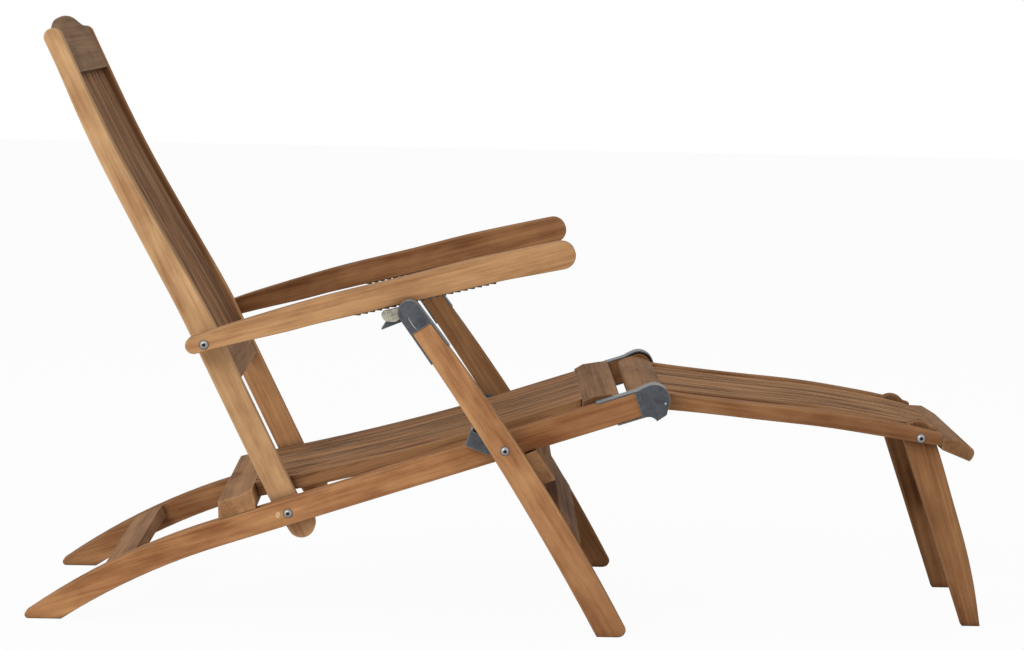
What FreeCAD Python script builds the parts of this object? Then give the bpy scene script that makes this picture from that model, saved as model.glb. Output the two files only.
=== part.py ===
import FreeCAD, Part
import math
import os

import Sketcher
from FreeCAD import Placement, Rotation, Vector

# A folding deck chair of oiled hardwood. X points to the sitter's feet, Y to the sitter's left, Z up.
# The origin is on the floor under the middle of the chair. Right-hand pieces are at minus Y.

doc = FreeCAD.newDocument("steamer_deck_chair")

# Driving dimensions, in millimetres and degrees

SIZES = {
    # Distances of the boards' inner faces from the middle plane, and their thicknesses
    "rail_inner": 202,
    "rail_thickness": 28,
    "stile_inner": 173,
    "stile_thickness": 26,
    "arm_inner": 231.5,
    "arm_thickness": 30.5,
    "leg_inner": 269,
    "leg_thickness": 26,
    "footrest_rail_inner": 168,
    "footrest_rail_thickness": 26,
    "footrest_leg_inner": 142,
    "footrest_leg_thickness": 24,
    # Side rails, which are rear leg and seat rail in one
    "rail_depth": 40,
    "rail_slope": 18.25,
    "rail_straight": 721,
    "rail_bend_radius": 1060,
    "rail_toe_radius": 6,
    "middle_rail_overhang": 8,
    # Pivots, as seen from the side
    "hinge_x": 224,
    "hinge_z": 365,
    "leg_pivot_x": -9,
    "leg_pivot_z": 290,
    "back_pivot_x": -347,
    "back_pivot_z": 175,
    "arm_pivot_x": -478,
    "arm_pivot_z": 443,
    "foot_pivot_x": 650,
    "foot_pivot_z": 307,
    # Back
    "back_lean": 26.24,
    "stile_half_width": 20.5,
    "back_slat_start": 279,
    "back_slat_end": 788,
    "slat_recess": 7,
    "crest_start": 761,
    "crest_shoulder": 839.5,
    "crest_crown": 19.5,
    "crest_rounding": 9,
    "crest_thickness": 24,
    "crest_lip": 9,
    "back_rail_width": 60,
    "back_rail_thickness": 22,
    "back_rail_recess": 2.5,
    # Slats
    "slat_width": 30,
    "slat_pitch": 38.3,
    "seat_slat_thickness": 22,
    "back_slat_thickness": 10,
    "foot_slat_width": 23,
    "foot_slat_pitch": 31.2,
    "foot_slat_thickness": 10,
    # Front legs and their stretcher
    "leg_top_width": 33,
    "leg_pivot_width": 42,
    "leg_stretcher_start": 130,
    "leg_stretcher_width": 60,
    "leg_stretcher_thickness": 18,
    "leg_stretcher_offset": 4,
    # Steel parts
    "sheet": 2,
    "cap_plate_rear": 30,
    "cap_plate_front": 32,
    "cap_rear_flange": 86,
    "cap_front_flange": 78,
    "plate_disc_radius": 25,
    "rack_pitch": 11,
    "rack_tooth": 2.4,
    "rack_base": 1.2,
    "rack_width": 10,
    "catch_gap": 3.8,
    "catch_pin_radius": 1.5,
    "lever_eye_radius": 3.5,
    "lever_width": 22,
    "bracket_eye_radius": 10,
    # Fasteners
    "bolt_radius": 4,
    "bolt_hole_radius": 4.05,
    "bolt_head_radius": 7.5,
    "bolt_head_height": 4.2,
    "socket_width": 5,
    "socket_depth": 2.4,
    "washer_radius": 9,
    "packer_radius": 12,
    # Eased edges
    "board_easing": 1.5,
    "slat_easing": 1.2,
}

sheet = doc.addObject("Spreadsheet::Sheet", "sizes")
for row, (alias, number) in enumerate(SIZES.items(), start=1):
    sheet.set(f"A{row}", alias.replace("_", " "))
    sheet.set(f"B{row}", str(number))
    sheet.setAlias(f"B{row}", alias)
doc.recompute()

SIDES = (("right", -1), ("left", 1))
FULL_WIDTH = 700


def size(alias):
    """The number that the sheet holds under this alias."""
    return float(sheet.get(alias))


def pivot(name):
    """A pivot's place in the side view, as (x, z)."""
    return size(name + "_x"), size(name + "_z")


def polar(centre, radius, degrees):
    """The point at this angle on a circle, counted from +X towards +Z."""
    angle = math.radians(degrees)
    return centre[0] + radius * math.cos(angle), centre[1] + radius * math.sin(angle)


class Outline:
    """A closed outline in a board's own plane, made of straight, round and flowing stretches."""

    def __init__(self, start):
        self.start = start
        self.at = start
        self.pieces = []

    def line(self, *ends):
        for end in ends:
            self.pieces.append(Part.LineSegment(Vector(*self.at, 0), Vector(*end, 0)))
            self.at = end
        return self

    def arc(self, through, end):
        self.pieces.append(Part.Arc(Vector(*self.at, 0), Vector(*through, 0), Vector(*end, 0)))
        self.at = end
        return self

    def flow(self, *points, leave=None, arrive=None):
        """A smooth curve through the points. leave and arrive are its directions at the ends."""
        curve = Part.BSplineCurve()
        through = [Vector(*self.at, 0)] + [Vector(*point, 0) for point in points]
        if leave and arrive:
            ends = {"InitialTangent": Vector(*leave, 0), "FinalTangent": Vector(*arrive, 0)}
            curve.interpolate(Points=through, **ends)
        else:
            curve.interpolate(through)
        self.pieces.append(curve)
        self.at = points[-1]
        return self

    def close(self):
        if math.dist(self.at, self.start) > 0.001:
            self.line(self.start)
        return self


def origin_plane(body, role):
    return next(feature for feature in body.Origin.OriginFeatures if feature.Role == role)


def add_sketch(body, name, plane="XZ_Plane"):
    sketch = body.newObject("Sketcher::SketchObject", f"{body.Label}_{name}_{len(body.Group)}")
    sketch.AttachmentSupport = (origin_plane(body, plane), "")
    sketch.MapMode = "FlatFace"
    sketch.Visibility = False
    return sketch


def add_pad(body, outline, inner, thickness, side):
    """Pad an outline outwards from the inner face. side is 1 towards +Y and -1 towards -Y."""
    number = len(body.Group)
    sketch = add_sketch(body, "outline")
    sketch.setExpression("AttachmentOffset.Base.z", f"{-side} * ({inner})")
    for piece in outline.pieces:
        sketch.addGeometry(piece)
    pad = body.newObject("PartDesign::Pad", f"{body.Label}_pad_{number}")
    pad.Profile = sketch
    pad.setExpression("Length", thickness)
    pad.Reversed = side > 0
    return pad


def drill(body, places):
    """Bolt holes right through a body, across the chair."""
    sketch = add_sketch(body, "holes")
    for place in places:
        circle = sketch.addGeometry(Part.Circle(Vector(*place, 0), Vector(0, 0, 1), size("bolt_hole_radius")))
        rule = sketch.addConstraint(Sketcher.Constraint("Radius", circle, size("bolt_hole_radius")))
        sketch.setExpression(f"Constraints[{rule}]", "sizes.bolt_hole_radius")
    pocket = body.newObject("PartDesign::Pocket", f"{body.Label}_drilling")
    pocket.Profile = sketch
    pocket.Midplane = True
    pocket.Length = FULL_WIDTH
    body.Tip = pocket


def outline_edges(shape):
    """The edges round a board's two faces, without its holes."""
    names = []
    for number, edge in enumerate(shape.Edges, start=1):
        low, high = edge.BoundBox.YMin, edge.BoundBox.YMax
        closed_ring = len(edge.Vertexes) == 1
        if high - low < 0.001 and not closed_ring:
            names.append(f"Edge{number}")
    return names


def ease(body, pad, easing):
    """Take the sharpness off the edges round a board's two faces."""
    doc.recompute(body.Group)
    chamfer = body.newObject("PartDesign::Chamfer", f"{body.Label}_easing")
    chamfer.Base = (pad, outline_edges(pad.Shape))
    chamfer.setExpression("Size", f"sizes.{easing}")
    body.Tip = chamfer


def board(label, outline, inner, thickness, side, holes=(), easing="board_easing", place=None):
    """A board cut to an outline, with bolt holes and eased edges."""
    body = doc.addObject("PartDesign::Body", label)
    pad = add_pad(body, outline.close(), inner, thickness, side)
    ease(body, pad, easing)
    if holes:
        drill(body, holes)
    if place is not None:
        body.Placement = place
    return body


def crossing(label, outline, half_width, easing="board_easing", place=None):
    """A board that runs across the chair, the same to both sides of the middle plane."""
    return board(label, outline, f"-({half_width})", f"2 * ({half_width})", 1, (), easing, place)


def group(label, members):
    """Several separate pieces that share one name."""
    compound = doc.addObject("Part::Compound", label)
    compound.Links = members
    return compound


# Frames of reference in the side view

HINGE = pivot("hinge")
LEG_PIVOT = pivot("leg_pivot")
BACK_PIVOT = pivot("back_pivot")
ARM_PIVOT = pivot("arm_pivot")
FOOT_PIVOT = pivot("foot_pivot")
SLOPE = size("rail_slope")
HALF_RAIL = size("rail_depth") / 2


def rail_point(along, up):
    """A point from the front hinge, along the straight rail (forwards is plus) and up from its middle."""
    x, z = polar(HINGE, along, SLOPE)
    return polar((x, z), up, SLOPE + 90)


def tilted_place(origin, turn):
    """A place at this point of the side view, turned so that +X rises by this angle."""
    return Placement(Vector(origin[0], 0, origin[1]), Rotation(Vector(0, 1, 0), -turn))


RAIL_PLACE = tilted_place(HINGE, SLOPE)
BACK_PLACE = tilted_place(BACK_PIVOT, size("back_lean"))

nodes = []


# Side rails, each one board that is rear leg and seat rail in one

def side_rail_outline():
    radius = size("rail_bend_radius")
    toe = size("rail_toe_radius")
    bend_at = -size("rail_straight")
    bend_start = rail_point(bend_at, 0)
    centre = polar(bend_start, -radius, SLOPE + 90)
    outer, inner = radius + HALF_RAIL, radius - HALF_RAIL
    toe_centre = (centre[0] - math.sqrt((outer - toe) ** 2 - (toe - centre[1]) ** 2), toe)
    toe_turn = math.degrees(math.atan2(toe - centre[1], toe_centre[0] - centre[0]))
    heel = (centre[0] - math.sqrt(inner ** 2 - centre[1] ** 2), 0)
    heel_turn = math.degrees(math.atan2(-centre[1], heel[0] - centre[0]))
    outline = Outline(heel)
    outline.line((toe_centre[0], 0))
    outline.arc(polar(toe_centre, toe, (toe_turn + 270) / 2), polar(centre, outer, toe_turn))
    outline.arc(polar(centre, outer, (toe_turn + SLOPE + 90) / 2), rail_point(bend_at, HALF_RAIL))
    outline.line(rail_point(0, HALF_RAIL))
    outline.arc(rail_point(HALF_RAIL, 0), rail_point(0, -HALF_RAIL))
    outline.line(rail_point(bend_at, -HALF_RAIL))
    outline.arc(polar(centre, inner, (heel_turn + SLOPE + 90) / 2), heel)
    return outline


for side_name, side in SIDES:
    nodes.append(board(f"side_rail_{side_name}", side_rail_outline(), "sizes.rail_inner",
                       "sizes.rail_thickness", side, (HINGE, LEG_PIVOT, BACK_PIVOT)))


# Boards across the seat frame

def polygon(corners):
    return Outline(corners[0]).line(*corners[1:])


REAR_STRETCHER = ((-636, 85), (-590, 108), (-582, 92), (-628, 69))
SEAT_REAR_RAIL = ((-457, 191.5), (-424.5, 200.6), (-404, 213), (-398, 189), (-397.5, 181.25), (-456, 161.95))
SEAT_MIDDLE_RAIL = ((24, 275.8), (41, 283.6), (71.4, 236.6), (53.3, 230.4))
SEAT_FRONT_RAIL = ((113, 335.5), (113, 357), (127, 365.5), (156, 370.5), (168, 371), (171, 367), (171, 352))

nodes.append(crossing("rear_stretcher", polygon(REAR_STRETCHER), "sizes.rail_inner"))
nodes.append(crossing("seat_rear_rail", polygon(SEAT_REAR_RAIL), "sizes.rail_inner + sizes.rail_thickness"))
nodes.append(crossing("seat_middle_rail", polygon(SEAT_MIDDLE_RAIL),
                      "sizes.rail_inner + sizes.rail_thickness + sizes.middle_rail_overhang"))
nodes.append(crossing("seat_front_rail", polygon(SEAT_FRONT_RAIL), "sizes.rail_inner"))


# Slats, which run lengthwise: one in the middle and four pairs beside it

def slats(label, outline_maker, width, pitch, place=None):
    made = []
    for step in range(5):
        members = []
        for side_name, side in SIDES if step else SIDES[1:]:
            name = f"{label}_{step}_{side_name}" if step else f"{label}_middle"
            inner = f"{step} * sizes.{pitch} - sizes.{width} / 2"
            members.append(board(name, outline_maker(), inner, f"sizes.{width}", side,
                                 easing="slat_easing", place=place))
        made.append(group(f"{label}_pair_{step}", members) if step else members[0])
    return made


# The seat slats dip a little in the middle: tops at the rear rail, the middle and the front rail
SEAT_SLAT_TOP = ((-403.8, 212.2), (-140, 277.5), (113, 357.5))


def seat_slat_outline():
    rear, middle, front = SEAT_SLAT_TOP
    down = size("seat_slat_thickness")
    rear_under = (rear[0] + down * 0.25, rear[1] - down)
    middle_under = (middle[0] + down * math.sin(math.radians(16)), middle[1] - down)
    front_under = (front[0], front[1] - down)
    return Outline(rear_under).line(rear).arc(middle, front).line(front_under).arc(middle_under, rear_under)


nodes += slats("seat_slat", seat_slat_outline, "slat_width", "slat_pitch")


# Hinge plates: pressed steel that wraps the front end of each side rail
# Places are along and up from the hinge, with the rail's slope

def hinge_plate(label, side):
    metal = size("sheet")
    disc = size("plate_disc_radius")
    body = doc.addObject("PartDesign::Body", label)
    rail_top = HALF_RAIL + metal
    back_edge = -26
    neck = -20
    web = Outline((back_edge, rail_top)).line((neck, rail_top))
    web.flow((-9, 24.2), (0, disc)).arc((disc, 0), polar((0, 0), disc, -44))
    web.line((12, -28), (-5.5, -33)).flow((-10, -26), (neck, -rail_top)).line((back_edge, -rail_top))
    add_pad(body, web.close(), "sizes.rail_inner + sizes.rail_thickness", "sizes.sheet", side)
    rim = Outline((-88, rail_top)).line((neck, rail_top)).flow((-9, 24.2), (0, disc))
    rim.arc((disc, 0), polar((0, 0), disc, -44)).line(polar((0, 0), disc - metal, -44))
    rim.arc((disc - metal, 0), (0, disc - metal)).flow((-9, 22.2), (neck, HALF_RAIL)).line((-88, HALF_RAIL))
    add_pad(body, rim.close(), "sizes.rail_inner", "sizes.rail_thickness", side)
    under = polygon(((-66, -HALF_RAIL), (neck, -HALF_RAIL), (neck, -rail_top), (-66, -rail_top)))
    body.Tip = add_pad(body, under.close(), "sizes.rail_inner", "sizes.rail_thickness + sizes.sheet / 2", side)
    body.Placement = RAIL_PLACE
    return body


# Steel rounds: bolts, washers, rivets

def axis_place(place, y, side):
    """A place at y on a pivot's axis, turned so that local Z points outwards."""
    return Placement(Vector(place[0], y, place[1]), Rotation(Vector(1, 0, 0), -90 * side))


def rod(label, place, y, radius, length, side):
    cylinder = doc.addObject("Part::Cylinder", label)
    cylinder.setExpression("Radius", radius)
    cylinder.setExpression("Height", length)
    cylinder.Placement = axis_place(place, y, side)
    return cylinder


def bolt(label, place, inner, outer, side):
    """A round-headed socket bolt whose shank runs from the inner face to the outer one."""
    head_radius, head_height = size("bolt_head_radius"), size("bolt_head_height")
    ball_radius = (head_radius ** 2 + head_height ** 2) / (2 * head_height)
    shank = rod(f"{label}_shank", place, side * inner, "sizes.bolt_radius", f"{outer - inner} + 0.5", side)
    head = doc.addObject("Part::Sphere", f"{label}_head")
    head.setExpression("Radius", "(sizes.bolt_head_radius ^ 2 + sizes.bolt_head_height ^ 2)"
                                 " / (2 * sizes.bolt_head_height)")
    head.Angle1 = math.degrees(math.asin((ball_radius - head_height) / ball_radius))
    head.Placement = axis_place(place, side * (outer + head_height - ball_radius), side)
    whole = doc.addObject("Part::Fuse", f"{label}_whole")
    whole.Base, whole.Tool = head, shank
    socket = doc.addObject("Part::Prism", f"{label}_socket")
    socket.Polygon = 6
    socket.setExpression("Circumradius", "sizes.socket_width / 1.732")
    socket.setExpression("Height", "sizes.socket_depth + 1")
    socket.Placement = axis_place(place, side * (outer + head_height - size("socket_depth")), side)
    cut = doc.addObject("Part::Cut", label)
    cut.Base, cut.Tool = whole, socket
    return cut


def washer(label, place, inner, thickness, side):
    disc = rod(f"{label}_disc", place, side * inner, "sizes.washer_radius", str(thickness), side)
    bore = rod(f"{label}_bore", place, side * (inner - 1), "sizes.bolt_hole_radius", str(thickness + 2), side)
    ring = doc.addObject("Part::Cut", label)
    ring.Base, ring.Tool = disc, bore
    return ring


def both_sides(label, maker, *arguments):
    return group(label, [maker(f"{label}_{side_name}", *arguments, side) for side_name, side in SIDES])


RAIL_IN, RAIL_OUT = size("rail_inner"), size("rail_inner") + size("rail_thickness")
STILE_IN, STILE_OUT = size("stile_inner"), size("stile_inner") + size("stile_thickness")
ARM_IN, ARM_OUT = size("arm_inner"), size("arm_inner") + size("arm_thickness")
LEG_IN, LEG_OUT = size("leg_inner"), size("leg_inner") + size("leg_thickness")
FOOT_RAIL_IN = size("footrest_rail_inner")
FOOT_RAIL_OUT = FOOT_RAIL_IN + size("footrest_rail_thickness")
FOOT_LEG_IN = size("footrest_leg_inner")
FOOT_LEG_OUT = FOOT_LEG_IN + size("footrest_leg_thickness")
CLEAR = 0.3



def hinge_pin(label, side):
    """A plain pin through footrest rail and side rail, kept in by the hinge plate that covers its end."""
    return rod(label, HINGE, side * (FOOT_RAIL_IN + 1), "sizes.bolt_radius", f"{RAIL_OUT - FOOT_RAIL_IN - 1}", side)


for side_name, side in SIDES:
    nodes.append(hinge_plate(f"hinge_plate_{side_name}", side))
nodes.append(both_sides("hinge_pins", hinge_pin))
nodes.append(both_sides("back_pivot_bolts", bolt, BACK_PIVOT, STILE_IN + 1, RAIL_OUT + CLEAR))
nodes.append(both_sides("leg_pivot_bolts", bolt, LEG_PIVOT, RAIL_IN + 1, LEG_OUT))
nodes.append(both_sides("foot_pivot_bolts", bolt, FOOT_PIVOT, FOOT_LEG_IN + 1, FOOT_RAIL_OUT))
nodes.append(both_sides("back_washers", washer, BACK_PIVOT, STILE_OUT + CLEAR, RAIL_IN - STILE_OUT - CLEAR))
nodes.append(both_sides("hinge_spacers", washer, HINGE, FOOT_RAIL_OUT + CLEAR,
                        RAIL_IN - FOOT_RAIL_OUT - CLEAR))
nodes.append(both_sides("foot_washers", washer, FOOT_PIVOT, FOOT_LEG_OUT + CLEAR,
                        FOOT_RAIL_IN - FOOT_LEG_OUT - CLEAR))


# Pivot brackets: folded steel that holds each front leg away from its side rail

PIVOT_BRACKET = ((-37, 301), (-62, 318), (-70, 293), (-35, 280))


def pivot_bracket(label, side):
    body = doc.addObject("PartDesign::Body", label)
    shoulder, top, rear, low = PIVOT_BRACKET
    reach = size("bracket_eye_radius")
    around = Outline(low).line(rear, top, shoulder, polar(LEG_PIVOT, reach, 80))
    around.arc(polar(LEG_PIVOT, reach, 0), polar(LEG_PIVOT, reach, -100)).close()
    add_pad(body, around, f"{RAIL_OUT}", "sizes.sheet", side)
    add_pad(body, around, f"{LEG_IN - CLEAR} - sizes.sheet", "sizes.sheet", side)
    wall = Outline(top).line(rear, low, (low[0], low[1] + 2.6), (rear[0] + 3, rear[1] + 1.6))
    wall.line((top[0] + 2.2, top[1]))
    add_pad(body, wall.close(), f"{RAIL_OUT}", f"{LEG_IN - CLEAR - RAIL_OUT}", side)
    drill(body, (LEG_PIVOT,))
    return body


for side_name, side in SIDES:
    nodes.append(pivot_bracket(f"pivot_bracket_{side_name}", side))


# Back, drawn in its own plane: along from its pivot, forward from its pivot line

def in_back(place):
    """A side-view place, as forward and along in the back's own plane."""
    x, z = place[0] - BACK_PIVOT[0], place[1] - BACK_PIVOT[1]
    lean = math.radians(size("back_lean"))
    return x * math.cos(lean) + z * math.sin(lean), -x * math.sin(lean) + z * math.cos(lean)


STILE_FOOT = (7.5, -28.5)
STILE_FOOT_RADIUS = 22


def stile_outline():
    """Bent forward at its round foot, straight at the arms, then drawn back and thinner up to a round top."""
    half = size("stile_half_width")
    rear, low, front = (polar(STILE_FOOT, STILE_FOOT_RADIUS, turn) for turn in (180, 270, 0))
    outline = Outline(rear).flow((-half, 25), leave=(-0.1, 1), arrive=(0, 1)).line((-half, 330))
    outline.flow((-24, 440), (-28.6, 564), (-30, 670), (-28.6, 720), (-26, 775), (-25, 824),
                 leave=(0, 1), arrive=(0.02, 1))
    outline.arc((-13, 840), (2.2, 824))
    outline.flow((1, 761), (0.3, 708), (2, 600), (7, 518), (15, 410), (half, 310),
                 leave=(-0.02, -1), arrive=(0, -1))
    outline.line((half, 25)).flow(front, leave=(0, -1), arrive=(0.1, -1))
    return outline.arc(low, rear)


for side_name, side in SIDES:
    nodes.append(board(f"back_stile_{side_name}", stile_outline(), "sizes.stile_inner",
                       "sizes.stile_thickness", side, ((0, 0), in_back(ARM_PIVOT)), place=BACK_PLACE))


def back_slat_outline():
    """Set back from the stiles' front edges, which it follows, and tucked behind the crest rail's lip."""
    recess, thickness = size("slat_recess"), size("back_slat_thickness")
    start, end = size("back_slat_start"), size("back_slat_end")
    front = ((size("stile_half_width") - recess, start), (20 - recess, 320), (15 - recess, 410),
             (7 - recess, 518), (2 - recess, 600), (-recess - 0.7, 700), (-size("crest_lip") - 0.8, end))
    rear = [(forward - thickness, along) for forward, along in reversed(front)]
    outline = Outline(front[0]).flow(*front[1:], leave=(0, 1), arrive=(-0.03, 1))
    return outline.line(rear[0]).flow(*rear[1:], leave=(0.03, -1), arrive=(0, -1))


nodes += slats("back_slat", back_slat_outline, "slat_width", "slat_pitch", BACK_PLACE)


def back_lower_rail():
    """A board whose top edge carries the slats' lower ends."""
    top, front = size("back_slat_start"), size("stile_half_width") - size("back_rail_recess")
    low, rear = top - size("back_rail_width"), front - size("back_rail_thickness")
    corners = ((front, low), (front, top), (rear, top), (rear, low))
    return crossing("back_lower_rail", polygon(corners), "sizes.stile_inner", place=BACK_PLACE)


nodes.append(back_lower_rail())


def crest_rail():
    """A shaped board between the stiles: level shoulders, a raised middle with round edges, and a rebate
    for the slats."""
    body = doc.addObject("PartDesign::Body", "crest_rail")
    half, start = size("stile_inner"), size("crest_start")
    shoulder = size("crest_shoulder")
    crown = shoulder + size("crest_crown")
    face = Outline((-half, start)).line((-half, shoulder))
    rise = ((half - 33, shoulder + 1.5), (half - 62, shoulder + 5.5), (half - 87, shoulder + 10.5),
            (half - 111, shoulder + 15.5), (half - 130, crown - 1.5))
    face.flow(*[(-across, along) for across, along in rise], (0, crown), *reversed(rise), (half, shoulder),
              leave=(1, 0), arrive=(1, 0))
    face.line((half, start))
    sketch = add_sketch(body, "face", "YZ_Plane")
    sketch.setExpression("AttachmentOffset.Base.z", "0.5 - sizes.crest_thickness")
    for piece in face.close().pieces:
        sketch.addGeometry(piece)
    pad = body.newObject("PartDesign::Pad", "crest_rail_pad")
    pad.Profile = sketch
    pad.setExpression("Length", "sizes.crest_thickness")
    doc.recompute()
    full = pad.Shape.Volume
    rebate = add_sketch(body, "rebate")
    rear, lip, end = -size("crest_thickness") - 5, -size("crest_lip"), size("back_slat_end") + 0.5
    for piece in polygon(((rear, start - 5), (lip, start - 5), (lip, end), (rear, end))).close().pieces:
        rebate.addGeometry(piece)
    pocket = body.newObject("PartDesign::Pocket", "crest_rail_rebate_cut")
    pocket.Profile = rebate
    pocket.Midplane = True
    pocket.setExpression("Length", "2 * sizes.stile_inner - 6")
    doc.recompute()
    assert pocket.Shape.Volume < full - 1000, "the rebate cuts nothing"
    rounding = body.newObject("PartDesign::Fillet", "crest_rail_rounding")
    edges = []
    for number, edge in enumerate(pocket.Shape.Edges, start=1):
        box = edge.BoundBox
        if box.XLength < 0.001 and box.ZMin > shoulder - 0.01:
            edges.append(f"Edge{number}")
    rounding.Base = (pocket, edges)
    rounding.setExpression("Radius", "sizes.crest_rounding")
    body.Tip = rounding
    body.Placement = BACK_PLACE
    return body


nodes.append(crest_rail())


# Arms, their packers and the toothed racks under them

ARM_TOP = ((-461, 467), (-419, 481.5), (-353, 503), (-274, 526.5), (-172, 553), (-70, 581), (33, 605))
ARM_UNDER = ((25, 560), (-22, 550), (-299, 480), (-345, 467), (-388, 456))
ARM_FRONT = (73.5, 592)
ARM_FRONT_RADIUS = 21.5
ARM_REAR = (-494.5, 441)
ARM_REAR_RADIUS = 13
RACK_START, RACK_END = -247, -27


def arm_outline():
    rising = (0.956, 0.292)
    falling = (-0.956, -0.292)
    straight = (ARM_UNDER[2][0] - ARM_UNDER[1][0], ARM_UNDER[2][1] - ARM_UNDER[1][1])
    nose_top, nose, nose_under = (polar(ARM_FRONT, ARM_FRONT_RADIUS, turn) for turn in (101.5, 10, -78))
    outline = Outline(polar(ARM_REAR, ARM_REAR_RADIUS, 107))
    outline.flow(*ARM_TOP, nose_top, leave=rising, arrive=(0.98, 0.2)).arc(nose, nose_under)
    outline.flow(*ARM_UNDER[:2], leave=(-0.978, -0.208), arrive=straight).line(ARM_UNDER[2])
    outline.flow(*ARM_UNDER[3:], polar(ARM_REAR, ARM_REAR_RADIUS, -73), leave=straight, arrive=falling)
    return outline.arc(polar(ARM_REAR, ARM_REAR_RADIUS, 197), outline.start)


def under_arm(x, down):
    """A point under the arm's straight stretch, at this distance from the wood."""
    (x_front, z_front), (x_rear, z_rear) = ARM_UNDER[1], ARM_UNDER[2]
    slope = math.degrees(math.atan2(z_front - z_rear, x_front - x_rear))
    z = z_rear + (x - x_rear) * math.tan(math.radians(slope))
    return polar((x, z), down, slope - 90)


def rack_outline():
    """A flat strip with saw teeth that point forwards."""
    base, tip = size("rack_base"), size("rack_base") + size("rack_tooth")
    pitch = size("rack_pitch")
    outline = Outline(under_arm(RACK_END, 0)).line(under_arm(RACK_START, 0), under_arm(RACK_START, base))
    for tooth in range(round((RACK_END - RACK_START) / pitch)):
        root = RACK_START + tooth * pitch
        outline.line(under_arm(root + pitch * 0.85, tip), under_arm(root + pitch, base))
    return outline.close()


for side_name, side in SIDES:
    nodes.append(board(f"arm_{side_name}", arm_outline(), "sizes.arm_inner", "sizes.arm_thickness", side,
                       (ARM_PIVOT,)))
    rack = doc.addObject("PartDesign::Body", f"rack_{side_name}")
    middle = "sizes.arm_inner + (sizes.arm_thickness - sizes.rack_width) / 2"
    rack.Tip = add_pad(rack, rack_outline(), middle, "sizes.rack_width", side)
    nodes.append(rack)
    nodes.append(bolt(f"arm_bolt_{side_name}", ARM_PIVOT, STILE_IN + 1, ARM_OUT + CLEAR, side))


def packer(label, side):
    disc = rod(f"{label}_disc", ARM_PIVOT, side * STILE_OUT, "sizes.packer_radius",
               f"{ARM_IN - CLEAR - STILE_OUT}", side)
    bore = rod(f"{label}_bore", ARM_PIVOT, side * (STILE_OUT - 1), "sizes.bolt_hole_radius",
               f"{ARM_IN - STILE_OUT + 2}", side)
    block = doc.addObject("Part::Cut", label)
    block.Base, block.Tool = disc, bore
    return block


nodes.append(both_sides("arm_packers", packer))


# Front legs, drawn along their middle line: down from the pivot and forward from it

LEG_TOP = (-160, 503)
LEG_LEAN = 32.9
LEG_TOP_LEAN = 35.9
LEG_PLACE = tilted_place(LEG_PIVOT, LEG_LEAN)


def leg_edges():
    """The leg's rear and front edges, each an arc through three points, from the top down."""
    top, middle = size("leg_top_width") / 2, size("leg_pivot_width") / 2
    rear = (polar(LEG_TOP, -top, LEG_TOP_LEAN), polar(LEG_PIVOT, -middle, LEG_LEAN), (139.5, 0))
    front = (polar(LEG_TOP, top, LEG_TOP_LEAN), polar(LEG_PIVOT, middle, LEG_LEAN), (184.8, 11.5))
    return rear, front


def leg_outline():
    """A gently bowed board with a round top and a flat sole, given in the chair's own side view."""
    rear, front = leg_edges()
    outline = Outline(rear[0]).arc(rear[1], rear[2]).line((172, 0)).flow((180.5, 3), front[2])
    outline.arc(front[1], front[0])
    return outline.arc(polar(LEG_TOP, size("leg_top_width") / 2, LEG_TOP_LEAN + 90), rear[0])


def leg_stretcher_outline():
    """In the legs' own directions: local X forward, local Z up the leg."""
    top, rear = -size("leg_stretcher_start"), size("leg_stretcher_offset")
    low, front = top - size("leg_stretcher_width"), rear + size("leg_stretcher_thickness")
    return polygon(((rear, top), (front, top), (front, low), (rear, low)))


for side_name, side in SIDES:
    nodes.append(board(f"front_leg_{side_name}", leg_outline(), "sizes.leg_inner", "sizes.leg_thickness",
                       side, (LEG_PIVOT,)))
nodes.append(crossing("leg_stretcher", leg_stretcher_outline(), "sizes.leg_inner", "board_easing", LEG_PLACE))


# Leg caps: pressed steel over the top of each leg, with the catch that holds the arm's rack

def down_edge(edge, distance, out):
    """The point this far down one of the leg's edges, and this far out to the front of it."""
    arc = Part.ArcOfCircle(*[Vector(*point, 0) for point in edge])
    centre = (arc.Center.x, arc.Center.y)
    start = math.degrees(math.atan2(edge[0][1] - centre[1], edge[0][0] - centre[0]))
    return polar(centre, arc.Radius + out, start - math.degrees(distance / arc.Radius))


def leg_cap(label, side):
    """A plate on the outer face, and a rim that runs over the leg's top and down both of its edges."""
    metal = size("sheet")
    top = size("leg_top_width") / 2
    rear, front = leg_edges()
    rear_top, front_top = down_edge(rear, 0, -metal), down_edge(front, 0, metal)
    crown = polar(LEG_TOP, top + metal, LEG_TOP_LEAN + 90)
    body = doc.addObject("PartDesign::Body", label)
    rear_web, front_web = size("cap_plate_rear"), size("cap_plate_front")
    web = Outline(down_edge(rear, rear_web, -metal)).arc(down_edge(rear, rear_web / 2, -metal), rear_top)
    web.arc(crown, front_top).arc(down_edge(front, front_web / 2, metal), down_edge(front, front_web, metal))
    add_pad(body, web.close(), f"{LEG_OUT}", "sizes.sheet", side)
    rear_low, front_low = size("cap_rear_flange"), size("cap_front_flange")
    rim = Outline(down_edge(rear, rear_low, -metal)).arc(down_edge(rear, rear_low / 2, -metal), rear_top)
    rim.arc(crown, front_top).arc(down_edge(front, front_low / 2, metal), down_edge(front, front_low, metal))
    rim.line(down_edge(front, front_low, 0)).arc(down_edge(front, front_low / 2, 0), front[0])
    rim.arc(polar(LEG_TOP, top, LEG_TOP_LEAN + 90), rear[0])
    rim.arc(down_edge(rear, rear_low / 2, 0), down_edge(rear, rear_low, 0))
    body.Tip = add_pad(body, rim.close(), f"{LEG_IN}", "sizes.leg_thickness + sizes.sheet / 2", side)
    return body


CATCH_PIN = (-163, 492)
CATCH_INNER = 238
CATCH_STEP = 253


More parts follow.
